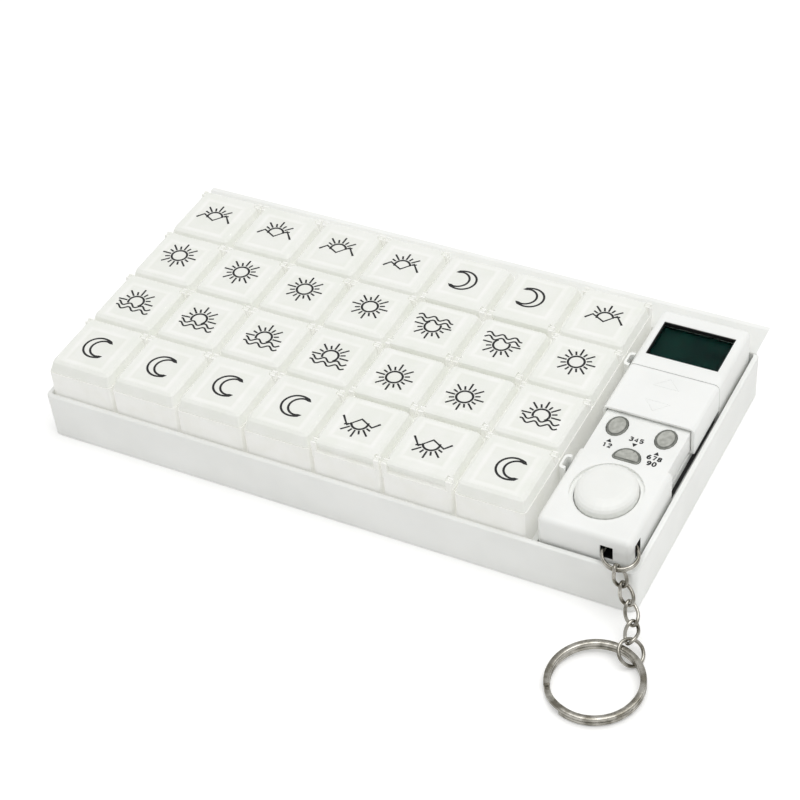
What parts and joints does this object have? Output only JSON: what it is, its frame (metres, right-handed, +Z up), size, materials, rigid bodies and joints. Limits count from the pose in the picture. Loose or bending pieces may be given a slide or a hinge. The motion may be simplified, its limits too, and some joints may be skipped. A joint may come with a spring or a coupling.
{
  "type": "electronic pill organizer",
  "caption": "Flat tray of lidded pill compartments in lift-out strips, with a lift-out reminder timer that has a display, slide cover, keys and a keychain.",
  "frame": {"origin": "middle of the tray's underside", "axes": "+Z up, +X to the right along the tray's length towards the timer, +Y to the rear, where the lip is"},
  "size_m": [0.2384, 0.1687, 0.0323],
  "materials": {
    "white_plastic": "fine matte white",
    "frosted_plastic": "frosted translucent",
    "grey_rubber": "soft matte",
    "clear_window": "clear window",
    "display_glass": "dark display",
    "board_green": "solder mask",
    "nickel_steel": "nickel plated",
    "battery_wrap": "plain wrap",
    "buzzer_black": "matte black"
  },
  "bodies": {
    "tray": {"tray": "white_plastic"},
    "strip_1": {"strip_1": "frosted_plastic"},
    "lid_1_1": {"lid_1_1": "frosted_plastic"},
    "lid_1_2": {"lid_1_2": "frosted_plastic"},
    "lid_1_3": {"lid_1_3": "frosted_plastic"},
    "lid_1_4": {"lid_1_4": "frosted_plastic"},
    "strip_2": {"strip_2": "frosted_plastic"},
    "lid_2_1": {"lid_2_1": "frosted_plastic"},
    "lid_2_2": {"lid_2_2": "frosted_plastic"},
    "lid_2_3": {"lid_2_3": "frosted_plastic"},
    "lid_2_4": {"lid_2_4": "frosted_plastic"},
    "strip_3": {"strip_3": "frosted_plastic"},
    "lid_3_1": {"lid_3_1": "frosted_plastic"},
    "lid_3_2": {"lid_3_2": "frosted_plastic"},
    "lid_3_3": {"lid_3_3": "frosted_plastic"},
    "lid_3_4": {"lid_3_4": "frosted_plastic"},
    "strip_4": {"strip_4": "frosted_plastic"},
    "lid_4_1": {"lid_4_1": "frosted_plastic"},
    "lid_4_2": {"lid_4_2": "frosted_plastic"},
    "lid_4_3": {"lid_4_3": "frosted_plastic"},
    "lid_4_4": {"lid_4_4": "frosted_plastic"},
    "strip_5": {"strip_5": "frosted_plastic"},
    "lid_5_1": {"lid_5_1": "frosted_plastic"},
    "lid_5_2": {"lid_5_2": "frosted_plastic"},
    "lid_5_3": {"lid_5_3": "frosted_plastic"},
    "lid_5_4": {"lid_5_4": "frosted_plastic"},
    "strip_6": {"strip_6": "frosted_plastic"},
    "lid_6_1": {"lid_6_1": "frosted_plastic"},
    "lid_6_2": {"lid_6_2": "frosted_plastic"},
    "lid_6_3": {"lid_6_3": "frosted_plastic"},
    "lid_6_4": {"lid_6_4": "frosted_plastic"},
    "strip_7": {"strip_7": "frosted_plastic"},
    "lid_7_1": {"lid_7_1": "frosted_plastic"},
    "lid_7_2": {"lid_7_2": "frosted_plastic"},
    "lid_7_3": {"lid_7_3": "frosted_plastic"},
    "lid_7_4": {"lid_7_4": "frosted_plastic"},
    "timer": {"timer_top_shell": "white_plastic", "timer_back_shell": "white_plastic", "display_window": "clear_window", "display_panel": "display_glass", "circuit_board": "board_green", "battery_left": "battery_wrap", "battery_right": "battery_wrap", "battery_bridge": "nickel_steel", "buzzer": "buzzer_black", "screw_front": "nickel_steel", "screw_rear": "nickel_steel"},
    "slide_cover": {"slide_cover": "white_plastic"},
    "battery_door": {"battery_door": "white_plastic"},
    "hour_key": {"hour_key": "grey_rubber"},
    "minute_key": {"minute_key": "grey_rubber"},
    "set_key": {"set_key": "grey_rubber"},
    "stop_dome": {"stop_dome": "white_plastic"},
    "corner_ring": {"corner_ring": "nickel_steel"},
    "chain_link_1": {"chain_link_1": "nickel_steel"},
    "chain_link_2": {"chain_link_2": "nickel_steel"},
    "chain_link_3": {"chain_link_3": "nickel_steel"},
    "chain_link_4": {"chain_link_4": "nickel_steel"},
    "jump_ring": {"jump_ring": "nickel_steel"},
    "split_ring": {"split_ring": "nickel_steel"}
  },
  "joints": [
    {"name": "strip_1_lift", "type": "slide", "parent": "tray", "child": "strip_1", "axis": [0, 0, 1], "range_m": [0, 0.038]},
    {"name": "lid_1_1_hinge", "type": "hinge", "parent": "strip_1", "child": "lid_1_1", "pos_m": [-0.09595, 0.05145, 0.0313], "axis": [-1, 0, 0], "range_deg": [0, 105]},
    {"name": "lid_1_2_hinge", "type": "hinge", "parent": "strip_1", "child": "lid_1_2", "pos_m": [-0.09595, 0.0245, 0.0313], "axis": [-1, 0, 0], "range_deg": [0, 105]},
    {"name": "lid_1_3_hinge", "type": "hinge", "parent": "strip_1", "child": "lid_1_3", "pos_m": [-0.09595, -0.00245, 0.0313], "axis": [-1, 0, 0], "range_deg": [0, 105]},
    {"name": "lid_1_4_hinge", "type": "hinge", "parent": "strip_1", "child": "lid_1_4", "pos_m": [-0.09595, -0.0294, 0.0313], "axis": [-1, 0, 0], "range_deg": [0, 105]},
    {"name": "strip_2_lift", "type": "slide", "parent": "tray", "child": "strip_2", "axis": [0, 0, 1], "range_m": [0, 0.038]},
    {"name": "lid_2_1_hinge", "type": "hinge", "parent": "strip_2", "child": "lid_2_1", "pos_m": [-0.06995, 0.05145, 0.0313], "axis": [-1, 0, 0], "range_deg": [0, 105]},
    {"name": "lid_2_2_hinge", "type": "hinge", "parent": "strip_2", "child": "lid_2_2", "pos_m": [-0.06995, 0.0245, 0.0313], "axis": [-1, 0, 0], "range_deg": [0, 105]},
    {"name": "lid_2_3_hinge", "type": "hinge", "parent": "strip_2", "child": "lid_2_3", "pos_m": [-0.06995, -0.00245, 0.0313], "axis": [-1, 0, 0], "range_deg": [0, 105]},
    {"name": "lid_2_4_hinge", "type": "hinge", "parent": "strip_2", "child": "lid_2_4", "pos_m": [-0.06995, -0.0294, 0.0313], "axis": [-1, 0, 0], "range_deg": [0, 105]},
    {"name": "strip_3_lift", "type": "slide", "parent": "tray", "child": "strip_3", "axis": [0, 0, 1], "range_m": [0, 0.038]},
    {"name": "lid_3_1_hinge", "type": "hinge", "parent": "strip_3", "child": "lid_3_1", "pos_m": [-0.04395, 0.05145, 0.0313], "axis": [-1, 0, 0], "range_deg": [0, 105]},
    {"name": "lid_3_2_hinge", "type": "hinge", "parent": "strip_3", "child": "lid_3_2", "pos_m": [-0.04395, 0.0245, 0.0313], "axis": [-1, 0, 0], "range_deg": [0, 105]},
    {"name": "lid_3_3_hinge", "type": "hinge", "parent": "strip_3", "child": "lid_3_3", "pos_m": [-0.04395, -0.00245, 0.0313], "axis": [-1, 0, 0], "range_deg": [0, 105]},
    {"name": "lid_3_4_hinge", "type": "hinge", "parent": "strip_3", "child": "lid_3_4", "pos_m": [-0.04395, -0.0294, 0.0313], "axis": [-1, 0, 0], "range_deg": [0, 105]},
    {"name": "strip_4_lift", "type": "slide", "parent": "tray", "child": "strip_4", "axis": [0, 0, 1], "range_m": [0, 0.038]},
    {"name": "lid_4_1_hinge", "type": "hinge", "parent": "strip_4", "child": "lid_4_1", "pos_m": [-0.01795, 0.05145, 0.0313], "axis": [-1, 0, 0], "range_deg": [0, 105]},
    {"name": "lid_4_2_hinge", "type": "hinge", "parent": "strip_4", "child": "lid_4_2", "pos_m": [-0.01795, 0.0245, 0.0313], "axis": [-1, 0, 0], "range_deg": [0, 105]},
    {"name": "lid_4_3_hinge", "type": "hinge", "parent": "strip_4", "child": "lid_4_3", "pos_m": [-0.01795, -0.00245, 0.0313], "axis": [-1, 0, 0], "range_deg": [0, 105]},
    {"name": "lid_4_4_hinge", "type": "hinge", "parent": "strip_4", "child": "lid_4_4", "pos_m": [-0.01795, -0.0294, 0.0313], "axis": [-1, 0, 0], "range_deg": [0, 105]},
    {"name": "strip_5_lift", "type": "slide", "parent": "tray", "child": "strip_5", "axis": [0, 0, 1], "range_m": [0, 0.038]},
    {"name": "lid_5_1_hinge", "type": "hinge", "parent": "strip_5", "child": "lid_5_1", "pos_m": [0.00805, -0.05345, 0.0313], "axis": [1, 0, 0], "range_deg": [0, 105]},
    {"name": "lid_5_2_hinge", "type": "hinge", "parent": "strip_5", "child": "lid_5_2", "pos_m": [0.00805, -0.0265, 0.0313], "axis": [1, 0, 0], "range_deg": [0, 105]},
    {"name": "lid_5_3_hinge", "type": "hinge", "parent": "strip_5", "child": "lid_5_3", "pos_m": [0.00805, 0.00045, 0.0313], "axis": [1, 0, 0], "range_deg": [0, 105]},
    {"name": "lid_5_4_hinge", "type": "hinge", "parent": "strip_5", "child": "lid_5_4", "pos_m": [0.00805, 0.0274, 0.0313], "axis": [1, 0, 0], "range_deg": [0, 105]},
    {"name": "strip_6_lift", "type": "slide", "parent": "tray", "child": "strip_6", "axis": [0, 0, 1], "range_m": [0, 0.038]},
    {"name": "lid_6_1_hinge", "type": "hinge", "parent": "strip_6", "child": "lid_6_1", "pos_m": [0.03405, -0.05345, 0.0313], "axis": [1, 0, 0], "range_deg": [0, 105]},
    {"name": "lid_6_2_hinge", "type": "hinge", "parent": "strip_6", "child": "lid_6_2", "pos_m": [0.03405, -0.0265, 0.0313], "axis": [1, 0, 0], "range_deg": [0, 105]},
    {"name": "lid_6_3_hinge", "type": "hinge", "parent": "strip_6", "child": "lid_6_3", "pos_m": [0.03405, 0.00045, 0.0313], "axis": [1, 0, 0], "range_deg": [0, 105]},
    {"name": "lid_6_4_hinge", "type": "hinge", "parent": "strip_6", "child": "lid_6_4", "pos_m": [0.03405, 0.0274, 0.0313], "axis": [1, 0, 0], "range_deg": [0, 105]},
    {"name": "strip_7_lift", "type": "slide", "parent": "tray", "child": "strip_7", "axis": [0, 0, 1], "range_m": [0, 0.038]},
    {"name": "lid_7_1_hinge", "type": "hinge", "parent": "strip_7", "child": "lid_7_1", "pos_m": [0.06005, 0.05145, 0.0313], "axis": [-1, 0, 0], "range_deg": [0, 105]},
    {"name": "lid_7_2_hinge", "type": "hinge", "parent": "strip_7", "child": "lid_7_2", "pos_m": [0.06005, 0.0245, 0.0313], "axis": [-1, 0, 0], "range_deg": [0, 105]},
    {"name": "lid_7_3_hinge", "type": "hinge", "parent": "strip_7", "child": "lid_7_3", "pos_m": [0.06005, -0.00245, 0.0313], "axis": [-1, 0, 0], "range_deg": [0, 105]},
    {"name": "lid_7_4_hinge", "type": "hinge", "parent": "strip_7", "child": "lid_7_4", "pos_m": [0.06005, -0.0294, 0.0313], "axis": [-1, 0, 0], "range_deg": [0, 105]},
    {"name": "timer_lift", "type": "slide", "parent": "tray", "child": "timer", "axis": [0, 0, 1], "range_m": [0, 0.038]},
    {"name": "slide_cover_travel", "type": "slide", "parent": "timer", "child": "slide_cover", "axis": [0, -1, 0], "range_m": [0, 0.0194]},
    {"name": "battery_door_release", "type": "slide", "parent": "timer", "child": "battery_door", "axis": [0, 0, -1], "range_m": [0, 0.006]},
    {"name": "hour_key_press", "type": "slide", "parent": "timer", "child": "hour_key", "axis": [0, 0, -1], "range_m": [0, 0.0008], "stiffness_N_per_m": 250},
    {"name": "minute_key_press", "type": "slide", "parent": "timer", "child": "minute_key", "axis": [0, 0, -1], "range_m": [0, 0.0008], "stiffness_N_per_m": 250},
    {"name": "set_key_press", "type": "slide", "parent": "timer", "child": "set_key", "axis": [0, 0, -1], "range_m": [0, 0.0008], "stiffness_N_per_m": 250},
    {"name": "stop_dome_press", "type": "slide", "parent": "timer", "child": "stop_dome", "axis": [0, 0, -1], "range_m": [0, 0.0012], "stiffness_N_per_m": 400},
    {"name": "corner_ring_swing", "type": "hinge", "parent": "timer", "child": "corner_ring", "pos_m": [0.10352, -0.04836, 0.02269], "axis": [-0.9848, -0.1736, 0], "range_deg": [0, 14]},
    {"name": "chain_link_1_swing", "type": "hinge", "parent": "corner_ring", "child": "chain_link_1", "pos_m": [0.10548, -0.05944, 0.02091], "axis": [-0.9848, -0.1736, 0], "range_deg": [0, 20]},
    {"name": "chain_link_2_swing", "type": "hinge", "parent": "chain_link_1", "child": "chain_link_2", "pos_m": [0.10807, -0.06034, 0.01529], "axis": [-0.9082, -0.1286, -0.3984], "range_deg": [-20, 20]},
    {"name": "chain_link_3_swing", "type": "hinge", "parent": "chain_link_2", "child": "chain_link_3", "pos_m": [0.11127, -0.06258, 0.01029], "axis": [0.8514, 0.0508, 0.5221], "range_deg": [-12, 20]},
    {"name": "chain_link_4_swing", "type": "hinge", "parent": "chain_link_3", "child": "chain_link_4", "pos_m": [0.11418, -0.06689, 0.00664], "axis": [-0.7811, 0.0005, -0.6244], "range_deg": [-20, 10]},
    {"name": "jump_ring_swing", "type": "hinge", "parent": "chain_link_4", "child": "jump_ring", "pos_m": [0.11492, -0.07292, 0.00479], "axis": [0.7166, -0.1235, 0.6865], "range_deg": [-20, 14]},
    {"name": "split_ring_swing", "type": "hinge", "parent": "jump_ring", "child": "split_ring", "pos_m": [0.11614, -0.07553, 0.0032], "axis": [-0.9272, 0.3746, 0], "range_deg": [0, 80]}
  ]
}
